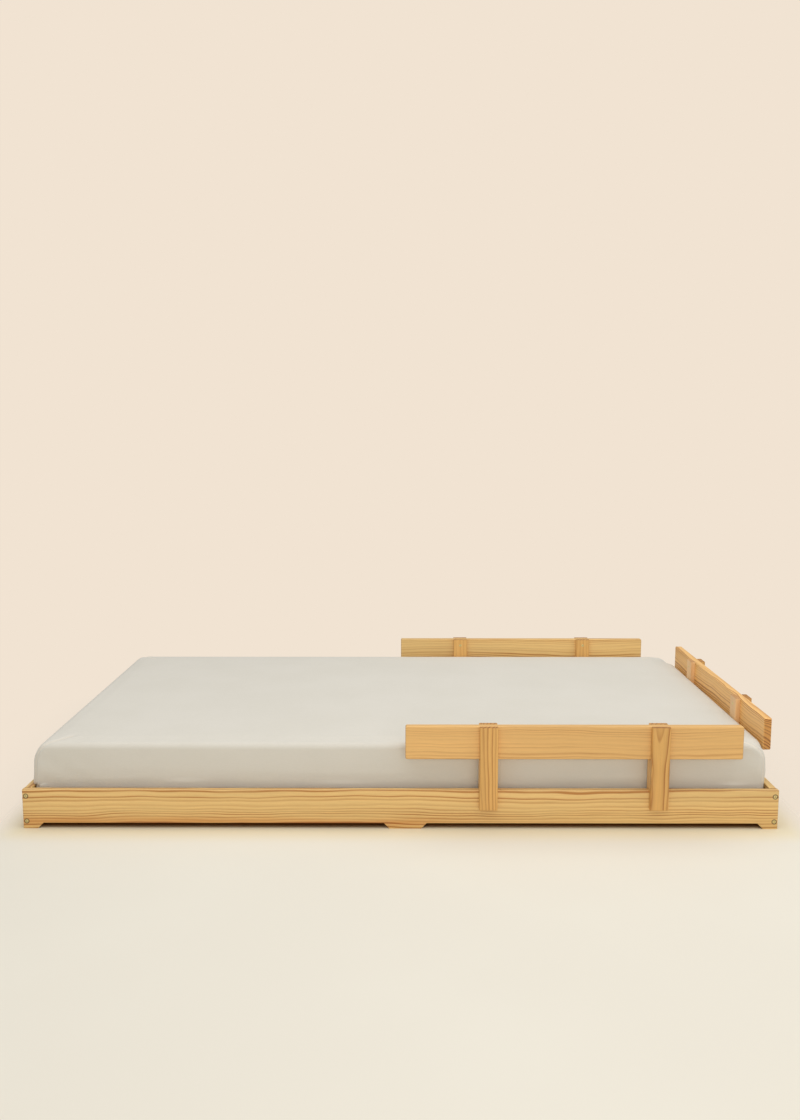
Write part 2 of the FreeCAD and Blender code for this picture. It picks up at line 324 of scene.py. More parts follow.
# %% Shader group: the inputs of a pine board's grain
grain_inputs = [
    ("Place", "NodeSocketVector", (0, 0, 0)),          # in metres: X along the grain, Z out
    ("Facing", "NodeSocketVector", (0, 0, 1)),         # the surface's normal in the same axes
    ("Cut From", "NodeSocketVector", (0, 0, 0)),       # where in the tree the board was cut
    ("Pith Across", "NodeSocketFloat", 0.0),
    ("Pith Depth", "NodeSocketFloat", 0.07),
    ("Pith Swing", "NodeSocketFloat", 0.02),
    ("Ring Width", "NodeSocketFloat", 0.0036),
    ("Ring Contrast", "NodeSocketFloat", 0.7),
    ("Early Wood", "NodeSocketColor", (0.75, 0.49, 0.21, 1)),
    ("Late Wood", "NodeSocketColor", (0.53, 0.27, 0.075, 1)),
    ("Heart Across", "NodeSocketFloat", -0.04),        # an orange-brown streak along the board
    ("Heart Width", "NodeSocketFloat", 0.012),
    ("Heart Strength", "NodeSocketFloat", 0.0),
]
surface_outputs = [
    ("Color", "NodeSocketColor"), ("Roughness", "NodeSocketFloat"), ("Height", "NodeSocketFloat")]
pine_grain, given, result = new_group("Pine grain", grain_inputs, surface_outputs)
tree = pine_grain
cut = vector_calc(tree, "ADD", given["Place"], given["Cut From"])

# %% The pith wanders slowly to and fro along the board
half = (0.5, 0.5, 0.5)
slow = noise_at(tree, stretched(tree, cut, 1.0, 0.35), 1.15, 1.5, 0.45, "Color")
swing = vector_calc(tree, "SCALE", vector_calc(tree, "SUBTRACT", slow, half),
                    product(tree, given["Pith Swing"], 4.0))
wavy = noise_at(tree, stretched(tree, cut, 3.4, 9.0), 1.0, 2.0, 0.5, "Color")
wavy = vector_calc(tree, "SCALE", vector_calc(tree, "SUBTRACT", wavy, half), 0.026)
bent = vector_calc(tree, "ADD", given["Place"], vector_calc(tree, "ADD", swing, wavy))
_, across, depth = axes_of(tree, bent)
across = calc(tree, "SUBTRACT", across, given["Pith Across"])
depth = calc(tree, "ADD", depth, given["Pith Depth"])
from_pith = calc(tree, "SQRT", calc(tree, "ADD", product(tree, across, across),
                                    product(tree, depth, depth)))

# %% Rings, one for each year
# years were not equally good: the ring width drifts with the distance from the pith
age = calc(tree, "DIVIDE", from_pith, given["Ring Width"])
slow_age = vector_of(tree, product(tree, age, 0.35), 3.7, 1.9)
age = calc(tree, "ADD", age, product(tree, noise_at(tree, slow_age, 1.0, 1.0), 3.0))
ring = add_node(tree, "ShaderNodeValToRGB", {0: calc(tree, "FRACT", age)})
ramp = ring.color_ramp
ramp.interpolation = "B_SPLINE"
for spot, tone in ((0.0, 0.10), (0.30, 0.0), (0.62, 0.28), (0.86, 1.0), (0.94, 0.75)):
    stop = ramp.elements.new(spot) if spot > 0 else ramp.elements[0]
    stop.color = (tone, tone, tone, 1)
ramp.elements[len(ramp.elements) - 1].color = (0.12, 0.12, 0.12, 1)
ring = ring.outputs[0]
uneven = noise_at(tree, stretched(tree, cut, 2.6, 26.0), 1.0, 2.0)
uneven = fade(tree, uneven, 0.30, 0.72, 0.35, 1.0)
good_year = noise_at(tree, vector_of(tree, product(tree, age, 0.83), 8.1, 5.3), 1.0, 0.0)
good_year = fade(tree, good_year, 0.34, 0.6, 0.3, 1.0)
late = product(tree, ring, uneven, given["Ring Contrast"], good_year)

# %% Fibres, resin ducts, and slow drifts of tone
fibre = noise_at(tree, stretched(tree, cut, 14.0, 850.0), 1.0, 3.0, 0.6)
ducts = fade(tree, noise_at(tree, stretched(tree, cut, 55.0, 1500.0), 1.0, 1.0), 0.66, 0.76)
drift = noise_at(tree, stretched(tree, cut, 1.3, 13.0), 1.0, 2.0)
color = mix_colors(tree, late, given["Early Wood"], given["Late Wood"])
shade = calc(tree, "ADD", fade(tree, fibre, 0.25, 0.75, 0.93, 1.06),
             fade(tree, drift, 0.3, 0.7, -0.06, 0.06))
color = vector_calc(tree, "SCALE", color, shade)
color = mix_colors(tree, product(tree, ducts, 0.22), color, (0.33, 0.15, 0.05, 1))

# %% The heart streak, with a ragged edge
ragged = noise_at(tree, stretched(tree, cut, 2.2, 30.0), 1.0, 3.0)
ragged = product(tree, calc(tree, "SUBTRACT", ragged, 0.5), 0.03)
off_streak = calc(tree, "SUBTRACT", axes_of(tree, given["Place"])[1], given["Heart Across"])
off_streak = calc(tree, "ABSOLUTE", calc(tree, "ADD", off_streak, ragged))
off_streak = calc(tree, "DIVIDE", off_streak, given["Heart Width"])
streak = calc(tree, "SUBTRACT", 1.0, calc(tree, "MINIMUM", off_streak, 1.0))
patchy = fade(tree, noise_at(tree, stretched(tree, cut, 1.6, 4.0), 1.0, 1.0), 0.28, 0.56)
streak = product(tree, streak, patchy, given["Heart Strength"])
color = mix_colors(tree, streak, color,
                   vector_calc(tree, "MULTIPLY", color, (0.80, 0.52, 0.30)))

# %% End grain, gloss and relief
# end grain drinks more of the oil and comes out darker
end = fade(tree, calc(tree, "ABSOLUTE", axes_of(tree, given["Facing"])[0]), 0.55, 0.9)
soaked = mix_colors(tree, product(tree, ring, 0.8), (0.72, 0.60, 0.46, 1), (0.34, 0.22, 0.14, 1))
color = mix_colors(tree, end, color, vector_calc(tree, "MULTIPLY", color, soaked))
rough = calc(tree, "ADD", fade(tree, fibre, 0.2, 0.8, 0.40, 0.52), product(tree, end, 0.2))
rough = calc(tree, "SUBTRACT", rough, product(tree, late, 0.06))
height = calc(tree, "ADD", product(tree, late, 0.6), product(tree, fibre, 0.5))
fill_in(tree, result, {"Color": color, "Roughness": rough, "Height": height})
print("pine grain:", len(tree.nodes), "nodes")

# %% [markdown]
# The shade in the countersunk recess round a screw's head is painted into the wood as a dark ring.
# It is a second small group. The screws of a board mirror each other about its middle,
# so one distance, measured after folding the board over at that middle, does for all.

# %% Shader group: painted shade round the screw heads
recess_shade_inputs = [
    ("Color", "NodeSocketColor", (1, 1, 1, 1)),
    ("Place", "NodeSocketVector", (0, 0, 0)),
    ("Screw Out", "NodeSocketFloat", 0.9),             # along the grain, from the middle
    ("Screw Up", "NodeSocketFloat", 0.03),             # across, from the line half way
    ("Screw Middle", "NodeSocketFloat", 0.0),
    ("Radius", "NodeSocketFloat", 0.0080),
]
recess_shade_outputs = [("Color", "NodeSocketColor")]
screw_recess_shade, given, result = new_group("Screw recess painted shade", recess_shade_inputs, recess_shade_outputs)
tree = screw_recess_shade
out, up, _ = axes_of(tree, given["Place"])
out = calc(tree, "SUBTRACT", calc(tree, "ABSOLUTE", out), given["Screw Out"])
up = calc(tree, "ABSOLUTE", calc(tree, "SUBTRACT", up, given["Screw Middle"]))
up = calc(tree, "SUBTRACT", up, given["Screw Up"])
away = calc(tree, "SQRT", calc(tree, "ADD", product(tree, out, out), product(tree, up, up)))
# painted shade: a dark ring round each screw head, for the shade in its countersunk recess
dark = fade(tree, calc(tree, "DIVIDE", away, given["Radius"]), 0.74, 1.0, 1.0, 0.0)
darker = vector_calc(tree, "MULTIPLY", given["Color"], (0.26, 0.24, 0.20))
fill_in(tree, result, {"Color": mix_colors(tree, dark, given["Color"], darker)})

# %% [markdown]
# Every board gets its own material, because no two boards are cut from the same place
# in the tree. A Mapping node in Texture mode moves the coordinates to the middle of the
# board and turns them, so that X runs along the grain and Z out of the good face. The
# Bevel node feels for sharp edges and rounds the light on them by a millimetre: the CAD
# only rounds the long edges, and a sanded board has no sharp one at all.

# %% Make a pine material and give it to a board
X, Y, Z = Vector((1, 0, 0)), Vector((0, 1, 0)), Vector((0, 0, 1))
sanded_edge = 1.1 * MM
tones = {
    "honey": ((0.82, 0.567, 0.226, 1), (0.47, 0.210, 0.048, 1)),
    "pale": ((0.84, 0.60, 0.30, 1), (0.62, 0.37, 0.15, 1)),
    "amber": ((0.82, 0.505, 0.184, 1), (0.44, 0.185, 0.038, 1)),
    "golden": ((0.99, 0.60, 0.212, 1), (0.46, 0.19, 0.040, 1)),
    "toffee": ((0.75, 0.44, 0.133, 1), (0.38, 0.145, 0.025, 1)),
    "rosy": ((0.86, 0.57, 0.29, 1), (0.62, 0.34, 0.14, 1)),
}


def saw_board(node, along, face, tone="honey", screws=None, **grain):
    """Give a wooden node its own pine: along is the grain's direction, face the good face's.
    Any input of the grain can be given by its name, and screws the inputs of the shade painted
    round screw heads."""
    low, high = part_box(node)
    dice = random.Random(node)
    material, tree, shader = new_material("pine_" + node)
    turn = Matrix((along, face.cross(along), face)).transposed().to_euler()
    coords = add_node(tree, "ShaderNodeTexCoord").outputs
    middle = [(a + b) / 2 for a, b in zip(low, high)]
    place = add_node(tree, "ShaderNodeMapping", vector_type="TEXTURE", inputs={
        "Vector": coords["Object"], "Location": middle, "Rotation": turn}).outputs[0]
    facing = add_node(tree, "ShaderNodeMapping", vector_type="TEXTURE", inputs={
        "Vector": coords["Normal"], "Rotation": turn}).outputs[0]
    early, late = tones[tone]
    values = {
        "Place": place,
        "Facing": facing,
        "Cut From": [dice.uniform(-40, 40) for _ in range(3)],
        "Pith Across": dice.uniform(-0.03, 0.03),
        "Early Wood": early,
        "Late Wood": late,
    }
    values.update({name.replace("_", " ").title(): value for name, value in grain.items()})
    surface = add_node(tree, "ShaderNodeGroup", values, node_tree=pine_grain).outputs
    color = surface["Color"]
    # painted shade round the screw heads, mixed into the wood's colour
    if screws:
        values = {"Color": color, "Place": place, **screws}
        color = add_node(tree, "ShaderNodeGroup", values, node_tree=screw_recess_shade).outputs["Color"]
    eased = add_node(tree, "ShaderNodeBevel", {"Radius": sanded_edge}, samples=4)
    bump = add_node(tree, "ShaderNodeBump", {
        "Height": surface["Height"], "Normal": eased.outputs[0],
        "Strength": 0.25, "Distance": 0.3 * MM})
    fill_in(tree, shader, {
        "Base Color": color, "Roughness": surface["Roughness"], "Normal": bump.outputs[0],
        "Coat Weight": 0.12, "Coat Roughness": 0.32})
    finish_with(wood[node], material)


# %% [markdown]
# ## The base
# Long boards lie along the bed and show flat-sawn faces with long, lazy lines. The
# front board has a warmer streak of heartwood along the lower edge of its left half.
# Ledgers and slats are plainer and paler wood, since nobody sees them.

# %% Wood of the base boards, ledgers and slats
# where the painted shade round the corner screws' heads goes
corner_recess_shade = {"Screw Out": 0.9725, "Screw Up": 0.03375, "Screw Middle": 0.0015}
rift = {"pith_across": 0.13, "pith_depth": 0.06, "pith_swing": 0.009, "ring_width": 0.0088}
saw_board("front_side_board", X, -Y, screws=corner_recess_shade, **rift, ring_contrast=2.2,
          heart_across=-0.037, heart_width=0.016, heart_strength=0.75)
saw_board("rear_side_board", -X, Y, screws=corner_recess_shade, **rift, ring_contrast=1.7)
saw_board("foot_end_board", Y, -X, **rift, ring_contrast=1.7)
saw_board("head_end_board", -Y, X, **rift, ring_contrast=1.7,
          heart_across=-0.03, heart_strength=0.5)
for node in ("front_ledger", "rear_ledger"):
    saw_board(node, X, Z, "pale", pith_depth=0.12, ring_width=0.0030)
slats = sorted(name for name in wood if name.startswith("slat_") and name[5:].isdigit())
for count, node in enumerate(slats):
    saw_board(node, Y, Z, "pale", pith_depth=0.05 + 0.013 * (count % 5), pith_swing=0.016)
print(len(slats), "slats, 2 ledgers and 4 boards")

# %% [markdown]
# ## The guard rails
# A rail board has its grain along the rail. Its battens stand upright, and so does
# their grain. Each rail is cut from a plank of its own tone, mostly redder than the
# base. The right outer batten at the front was sawn close to the pith: it shows a flame.

# %% Wood of the three guard rails
rail_sides = {"front_rail": (X, -Y), "rear_rail": (-X, Y), "head_rail": (Y, X)}
board_tones = {"front_rail": "amber", "rear_rail": "honey", "head_rail": "golden"}
inner_tones = {"front_rail": "amber", "rear_rail": "toffee", "head_rail": "rosy"}
board_contrasts = {"front_rail": 0.8, "rear_rail": 1.7, "head_rail": 1.7}
batten_piths = {"left": 0.06, "right": 0.035}
flamed = {"pith_across": 0.008, "pith_depth": 0.032, "pith_swing": 0.016,
          "ring_width": 0.0065, "ring_contrast": 2.2}
for rail, (along, outward) in rail_sides.items():
    saw_board(rail + "_board", along, outward, board_tones[rail],
              pith_across=-0.09, pith_depth=0.05, pith_swing=0.008,
              ring_width=0.0075, ring_contrast=board_contrasts[rail])
    for hand, pith in batten_piths.items():
        upright = {"pith_across": pith, "pith_depth": 0.03, "pith_swing": 0.004,
                   "ring_width": 0.0095}
        shows_flame = (rail, hand) == ("front_rail", "right")
        outer = flamed if shows_flame else {**upright, "ring_contrast": 1.0}
        saw_board(f"{rail}_{hand}_outer_batten", Z, outward, "toffee", **outer)
        saw_board(f"{rail}_{hand}_inner_batten", Z, -outward, inner_tones[rail], **upright)
        saw_board(f"{rail}_{hand}_rest_block", Z, outward, "amber", **upright)
print("3 rails of 7 wooden pieces")

# %% [markdown]
# ## Screws
# The bed is held by countersunk wood screws of yellow-plated steel. The CAD model holds
# them as eight-sided bodies. One good screw is made as a mesh: a head with a cross
# recess, a cone under it, and a threaded shank that tapers to a point. A Geometry
# Nodes tree then sets a copy at every place, because what repeats should be said once.

# %% One countersunk screw, along -Z from the wood's face
def build_screw(name, head_radius, shank_radius, length):
    """A screw as a mesh, its head's face at the origin."""
    sides = 12
    bm = bmesh.new()

    def ring(radius, z, turned=0):
        """Points round the axis. turned says at which point before the first it starts."""
        angles = [2 * math.pi * i / sides for i in range(sides)]
        made = [bm.verts.new((radius * math.cos(t), radius * math.sin(t), z)) for t in angles]
        return made[-turned:] + made[:-turned]

    def skin(upper, lower):
        for i in range(sides):
            j = (i + 1) % sides
            bm.faces.new((upper[i], lower[i], lower[j], upper[j]))

    # the recess: a cross with slightly narrowing arms, of as many points as a ring has
    arm, waist = 0.52 * head_radius, 0.14 * head_radius
    cross = []
    for quarter in range(4):
        turn = Matrix.Rotation(quarter * math.pi / 2, 4, "Z")
        for x, y in ((arm, -waist), (arm, waist), (1.5 * waist, 1.5 * waist)):
            cross.append(turn @ Vector((x, y, 0)))
    lip = [bm.verts.new(point) for point in cross]
    floor = [bm.verts.new((p.x * 0.55, p.y * 0.55, -0.45 * head_radius)) for p in cross]
    skin(lip, floor)
    bm.faces.new(floor)

    # the head: a flat face, an eased edge, and the cone's upper rim
    face = ring(0.93 * head_radius, 0.0, turned=1)
    edge = ring(head_radius, -0.05 * head_radius, turned=1)
    rim = ring(head_radius, -0.12 * head_radius, turned=1)
    skin(face, lip)
    skin(edge, face)
    skin(rim, edge)

    # the shank: plain at first, then a thread that winds down to the point
    plain_part, pitch, rows_per_turn = 0.35 * length, 2.4 * MM, 4
    levels = [rim, ring(0.8 * shank_radius, -1.12 * head_radius + shank_radius),
              ring(0.8 * shank_radius, -plain_part)]
    thread_turns = int((length - plain_part - 5 * MM) / pitch)
    for k in range(thread_turns * rows_per_turn):
        z = -plain_part - pitch * k / rows_per_turn
        row = []
        for i in range(sides):
            off_crest = abs(((k / rows_per_turn + i / sides) % 1.0) - 0.5) * 2
            radius = shank_radius * (0.68 + 0.32 * max(0.0, 1 - 2.2 * off_crest))
            angle = 2 * math.pi * i / sides
            row.append(bm.verts.new((radius * math.cos(angle), radius * math.sin(angle), z)))
        levels.append(row)
    levels.append(ring(0.25 * shank_radius, -length + 0.6 * MM))
    for lower, upper in zip(levels[1:], levels):
        skin(upper, lower)
    tip = bm.verts.new((0, 0, -length))
    for i in range(sides):
        bm.faces.new((levels[-1][i], tip, levels[-1][(i + 1) % sides]))
    bmesh.ops.recalc_face_normals(bm, faces=bm.faces)
    mesh = bpy.data.meshes.new(name)
    bm.to_mesh(mesh)
    bm.free()
    print(name, len(mesh.polygons), "faces")
    return bpy.data.objects.new(name, mesh)


# %% Helpers for Geometry Nodes
RANDOM_LOW, RANDOM_HIGH, RANDOM_RESULT = 2, 3, 1      # the sockets of a random plain number


def new_geometry_tree(name, inputs):
    """An empty Geometry Nodes tree with named inputs: (tree, inputs' sockets)."""
    tree = bpy.data.node_groups.new(name, "GeometryNodeTree")
    for label, kind in inputs:
        tree.interface.new_socket(name=label, in_out="INPUT", socket_type="NodeSocket" + kind)
    tree.interface.new_socket(name="Result", in_out="OUTPUT", socket_type="NodeSocketGeometry")
    return tree, tree.nodes.new("NodeGroupInput").outputs


def copies_on_points(tree, points, pattern, rotation, scale, material):
    """A copy at every point, made real and given its material. This ends the tree."""
    copies = add_node(tree, "GeometryNodeInstanceOnPoints", {
        "Points": points, "Instance": pattern, "Rotation": rotation, "Scale": scale})
    plain = add_node(tree, "GeometryNodeRealizeInstances", {"Geometry": copies.outputs[0]})
    dressed = add_node(tree, "GeometryNodeSetMaterial",
                       {"Geometry": plain.outputs[0], "Material": material})
    add_node(tree, "NodeGroupOutput", {0: dressed.outputs[0]})


def run_tree(name, source, tree, values):
    """Put a Geometry Nodes tree on an object, evaluate it once, and keep a plain mesh."""
    modifier = source.modifiers.new(tree.name, "NODES")
    modifier.node_group = tree
    for item in tree.interface.items_tree:
        if item.item_type == "SOCKET" and item.in_out == "INPUT" and item.name in values:
            modifier[item.identifier] = values[item.name]
    seen = source.evaluated_get(bpy.context.evaluated_depsgraph_get())
    mesh = bpy.data.meshes.new_from_object(seen)
    mesh.name = name
    piece = add_object(name, mesh)
    source.modifiers.remove(modifier)
    bpy.data.objects.remove(source)
    print(name, len(mesh.polygons), "faces")
    return piece


# %% Geometry Nodes: a screw at every place
screw_tree, given = new_geometry_tree("Screws at places", (
    ("Places", "Geometry"), ("Screw", "Object"), ("Head Scale", "Float"), ("Sink", "Float"),
    ("Turn Seed", "Int"), ("Steel", "Material")))
tree = screw_tree
outward = add_node(tree, "GeometryNodeInputNamedAttribute", {"Name": "outward"},
                   data_type="FLOAT_VECTOR").outputs[0]
aimed = add_node(tree, "FunctionNodeAlignRotationToVector", {"Vector": outward}, axis="Z")
chance = add_node(tree, "FunctionNodeRandomValue", data_type="FLOAT", inputs={
    RANDOM_LOW: 0.0, RANDOM_HIGH: 2 * math.pi, "Seed": given["Turn Seed"]})
spin = add_node(tree, "FunctionNodeAxisAngleToRotation",
                {"Axis": (0, 0, 1), "Angle": chance.outputs[RANDOM_RESULT]})
turned = add_node(tree, "FunctionNodeRotateRotation", rotation_space="LOCAL", inputs={
    "Rotation": aimed.outputs[0], "Rotate By": spin.outputs[0]})
lowered = vector_calc(tree, "SCALE", outward, product(tree, given["Sink"], -1.0))
sunk = add_node(tree, "GeometryNodeSetPosition", {"Geometry": given["Places"], "Offset": lowered})
screw = add_node(tree, "GeometryNodeObjectInfo", {"Object": given["Screw"], "As Instance": True})
copies_on_points(tree, sunk.outputs[0], screw.outputs["Geometry"], turned.outputs[0],
                 vector_of(tree, given["Head Scale"], given["Head Scale"], 1.0), given["Steel"])
print("screw tree:", len(tree.nodes), "nodes")

# %% [markdown]
# Yellow plating is a thin, uneven film on bright steel: it drifts between brass and a
# greenish grey, and it is duller where the driver has rubbed it off in the recess.

# %% Yellow-plated steel
plated_steel, tree, shader = new_material("yellow_plated_steel")
coords = add_node(tree, "ShaderNodeTexCoord").outputs["Object"]
film = fade(tree, noise_at(tree, coords, 320.0, 2.0), 0.35, 0.65)
color = mix_colors(tree, film, (0.84, 0.70, 0.34, 1), (0.62, 0.56, 0.28, 1))
rubbed = fade(tree, noise_at(tree, coords, 1500.0, 3.0, 0.7), 0.55, 0.7)
color = mix_colors(tree, product(tree, rubbed, 0.4), color, (0.88, 0.82, 0.62, 1))
scratches = add_node(tree, "ShaderNodeBump", {
    "Height": noise_at(tree, coords, 2500.0, 2.0), "Strength": 0.2, "Distance": 0.05 * MM})
fill_in(tree, shader, {
    "Base Color": color, "Roughness": fade(tree, rubbed, 0.0, 1.0, 0.30, 0.46),
    "Metallic": 1.0, "Normal": scratches.outputs[0]})

# %% [markdown]
# The places of the screws repeat the CAD's own rules: two at each corner, five along
# each ledger, two on each slat, and three down each inner batten of a rail. They are
# worked out from the boxes of the nodes they hold, so they can't drift from the wood.

# %% Where the screws go
corner_screw_heights = (19.5 * MM, 87.0 * MM)
rail_screw_heights = (254.5 * MM, 207.5 * MM, 145.0 * MM)
screws_in_ledger = 5
slat_screw_in = 15 * MM      # from the side board's inner face
side_low, side_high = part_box("front_side_board")
rear_low, rear_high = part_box("rear_side_board")
half_board = (side_high.y - side_low.y) / 2


def corner_places():
    for x in (side_low.x + half_board, side_high.x - half_board):
        for z in corner_screw_heights:
            yield Vector((x, side_low.y, z)), -Y
            yield Vector((x, rear_high.y, z)), Y


def slat_places():
    for node in slats:
        low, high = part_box(node)
        for edge, inward in ((side_high.y, 1), (rear_low.y, -1)):
            yield Vector(((low.x + high.x) / 2, edge + inward * slat_screw_in, high.z)), Z


def ledger_places():
    first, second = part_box(slats[0]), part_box(slats[1])
    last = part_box(slats[-1])
    start = (first[1].x + second[0].x) / 2
    stop = (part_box(slats[-2])[1].x + last[0].x) / 2
    for node, inward in (("front_ledger", Y), ("rear_ledger", -Y)):
        low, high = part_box(node)
        face = high.y if inward.y > 0 else low.y
        for i in range(screws_in_ledger):
            x = start + (stop - start) * i / (screws_in_ledger - 1)
            yield Vector((x, face, (low.z + high.z) / 2)), inward


def rail_places(rail, outward):
    for hand in ("left", "right"):
        low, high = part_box(f"{rail}_{hand}_inner_batten")
        middle = (low + high) / 2
        half = (high - low) / 2
        face = middle - Vector(outward[i] * half[i] for i in range(3))
        for z in rail_screw_heights:
            yield Vector((face.x, face.y, z)), -outward


# %% Set the screws
proud, head_scale = 0.08 * MM, 1.06      # a round head just covers the CAD's eight-sided hole
patterns = {
    "corner": build_screw("corner_screw_pattern", 4.5 * MM, 2.5 * MM, 60 * MM),
    "ledger": build_screw("ledger_screw_pattern", 4.5 * MM, 2.0 * MM, 45 * MM),
    "short": build_screw("short_screw_pattern", 4.5 * MM, 2.0 * MM, 40 * MM),
}


def set_smooth(piece, smooth):
    """Shade all faces of a piece smooth or flat."""
    piece.data.polygons.foreach_set("use_smooth", [smooth] * len(piece.data.polygons))


def set_screws(node, body, places, pattern, seed):
    """The screws of one node, each turned by chance, riding on its body."""
    places = list(places)
    source = mesh_object(node + "_places", [place for place, _ in places])
    direction = source.data.attributes.new("outward", "FLOAT_VECTOR", "POINT")
    for i, (_, outward) in enumerate(places):
        direction.data[i].vector = outward
    piece = run_tree(node.replace("screws", "wood_screws"), source, screw_tree, {
        "Screw": patterns[pattern], "Head Scale": head_scale, "Sink": -proud,
        "Turn Seed": seed, "Steel": plated_steel})
    set_smooth(piece, False)
    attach(piece, body)
    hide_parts(node)


set_screws("corner_screws", "base", corner_places(), "corner", 4)
set_screws("ledger_screws", "base", ledger_places(), "ledger", 7)
set_screws("slat_screws", "base", slat_places(), "short", 11)
for seed, (rail, (_, outward)) in enumerate(rail_sides.items()):
    set_screws(rail + "_screws", rail, rail_places(rail, outward), "short", 20 + seed)
for pattern in patterns.values():
    bpy.data.objects.remove(pattern)

# %% [markdown]
# ## The mattress
# The mattress is a firm foam block in a sewn cover. Its edges are rolled, its sides
# swell a little and its top is slightly crowned, and the corners are held back by the
# cover's seams. The foot end bulges most, and its upper edge is a tall, flat curve. The
# block is drawn as rows of points: every row is a rounded rectangle at its own height
# and inset, from the middle of the underside, round the edge, to the middle of the top.
# All its faces are then clean quads, which a cloth simulation likes. Beside the head
# rail the edge is rolled less, because the foam fills the space under the rail's board.

# %% Sizes of the mattress
block_low, block_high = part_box("mattress")
block_height = block_high.z - block_low.z
block_middle = (block_low + block_high) / 2
foot_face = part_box("foot_end_board")[1].x
head_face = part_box("head_end_board")[0].x
foot_x, head_x = foot_face + 1.6 * MM, head_face - 4.4 * MM
half_width = (block_high.y - block_low.y) / 2 - 3.0 * MM
foot_swell, head_swell, side_swell = 7.5 * MM, 2.0 * MM, 0.4 * MM
corner_radius, bottom_roll = 16 * MM, 22 * MM
foot_roll, head_roll, side_roll = 36 * MM, 45 * MM, 14 * MM
foot_roll_depth, roll_by_rail = 50 * MM, 22 * MM
rail_low, rail_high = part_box("head_rail_board")
crown, crown_run = 4 * MM, 190 * MM
top_swell = 2.5 * MM
edge_height = block_height + top_swell - crown
boards_height = side_high.z - block_low.z
hem_width = 120 * MM
fine_step, quad_step, wide_step = 9 * MM, 13 * MM, 19 * MM
print("mattress", round((head_x - foot_x) * 1000), "mm long")


# %% Rows of the mattress
def spread(start, stop, step):
    """Evenly spaced values from start to stop, the stop left out."""
    count = max(1, round(abs(stop - start) / step))
    return [start + (stop - start) * i / count for i in range(count)]


def roll_inset(radius, depth, tall=None):
    """How far a rolled edge, this tall, has drawn in at a depth below its highest line."""
    tall = tall or radius
    return 0.0 if depth >= tall else radius * (1 - math.sqrt(1 - (1 - depth / tall) ** 2))


def block_rows():
    """Rows from the middle below to the middle on top, each as (height, insets of the foot
    end, head end and sides, how much further out the head end is beside its rail)."""
    rows = [(0.0, s, s, s, 0.0) for s in spread(half_width, hem_width, wide_step)]
    rows += [(0.0, s, s, s, 0.0) for s in spread(hem_width, bottom_roll, fine_step)]
    for angle in range(0, 90, 18):
        a = math.radians(angle)
        inset = bottom_roll * (1 - math.sin(a))
        rows.append((bottom_roll * (1 - math.cos(a)), inset, inset, inset, 0.0))
    rows += [(height, 0.0, 0.0, 0.0, 0.0) for height in spread(bottom_roll, boards_height, 7 * MM)]
    heights = [boards_height, boards_height + 0.9 * MM]
    heights += spread(boards_height + 5 * MM, edge_height - side_roll, 6 * MM)
    heights += [edge_height - side_roll * (1 - math.sin(math.radians(angle)))
                for angle in range(0, 90, 10)]
    for height in heights:
        share = (height - boards_height) / (edge_height - boards_height)
        insets, deep = [], edge_height - height
        for roll, tall, swell, lowness in ((foot_roll, foot_roll_depth, foot_swell, 0.2),
                                           (head_roll, head_roll, head_swell, 0.6),
                                           (side_roll, side_roll, side_swell, 1.0)):
            bow = math.sin(math.pi * share ** lowness)
            insets.append(roll_inset(roll, deep, tall) - swell * bow)
        rows.append((height, *insets, roll_inset(head_roll, deep) - roll_inset(roll_by_rail, deep)))
    for share in spread(0.0, 1.0, quad_step / crown_run):
        run, rise = crown_run * share, crown * math.sin(share * math.pi / 2)
        rows.append((edge_height + rise, foot_roll + run, head_roll + run, side_roll + run,
                     (head_roll - roll_by_rail) * (1 - share)))
    for s in spread(side_roll + crown_run, half_width, wide_step) + [half_width]:
        more = s - side_roll
        rows.append((edge_height + crown, foot_roll + more, head_roll + more, s, 0.0))
    return rows


rows = block_rows()
hem_row = min(i for i, row in enumerate(rows) if abs(row[3] - hem_width) < 0.1 * MM)
print(len(rows), "rows; the sheet's hem is row", hem_row)

# %% [markdown]
# Columns run round the mattress. They are close together beside the corner seams and
# where two battens of the head rail press into the foam, and wider apart elsewhere. The
# corners are all rounded by the same angles, and a seam follows one of their columns.

# %% Columns of the mattress
arc_angles = [0, 14, 24, 28, 32, 36, 42, 48, 54, 58, 62, 66, 76, 90]
seam_angles = (58, 32, 58, 32)      # in each corner, a little nearer to the long side
long_columns = round((head_x - foot_x) / quad_step)
foot_columns = round(2 * half_width / quad_step)
batten_reach, batten_step = 50 * MM, 4 * MM
battens = [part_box(f"head_rail_{hand}_inner_batten") for hand in ("left", "right")]


def head_shares():
    """Where the columns of the head end stand, from -1 to 1."""
    reach = half_width - corner_radius
    found, y = [], -reach + 10 * MM
    while y < reach - 5 * MM:
        found.append(y / reach)
        beside = min(abs(y - (low.y + high.y) / 2) for low, high in battens)
        y += batten_step if beside < batten_reach else quad_step
    return found


straight_shares = [
    [1 - 2 * i / long_columns for i in range(1, long_columns)],
    [1 - 2 * i / foot_columns for i in range(1, foot_columns)],
    [2 * i / long_columns - 1 for i in range(1, long_columns)],
    head_shares(),
]
columns = 4 * len(arc_angles) + sum(len(shares) for shares in straight_shares)


def ease(value, low, high):
    """A smooth step from 0 to 1 while the value goes from low to high."""
    t = min(max((value - low) / (high - low), 0.0), 1.0)
    return t * t * (3 - 2 * t)


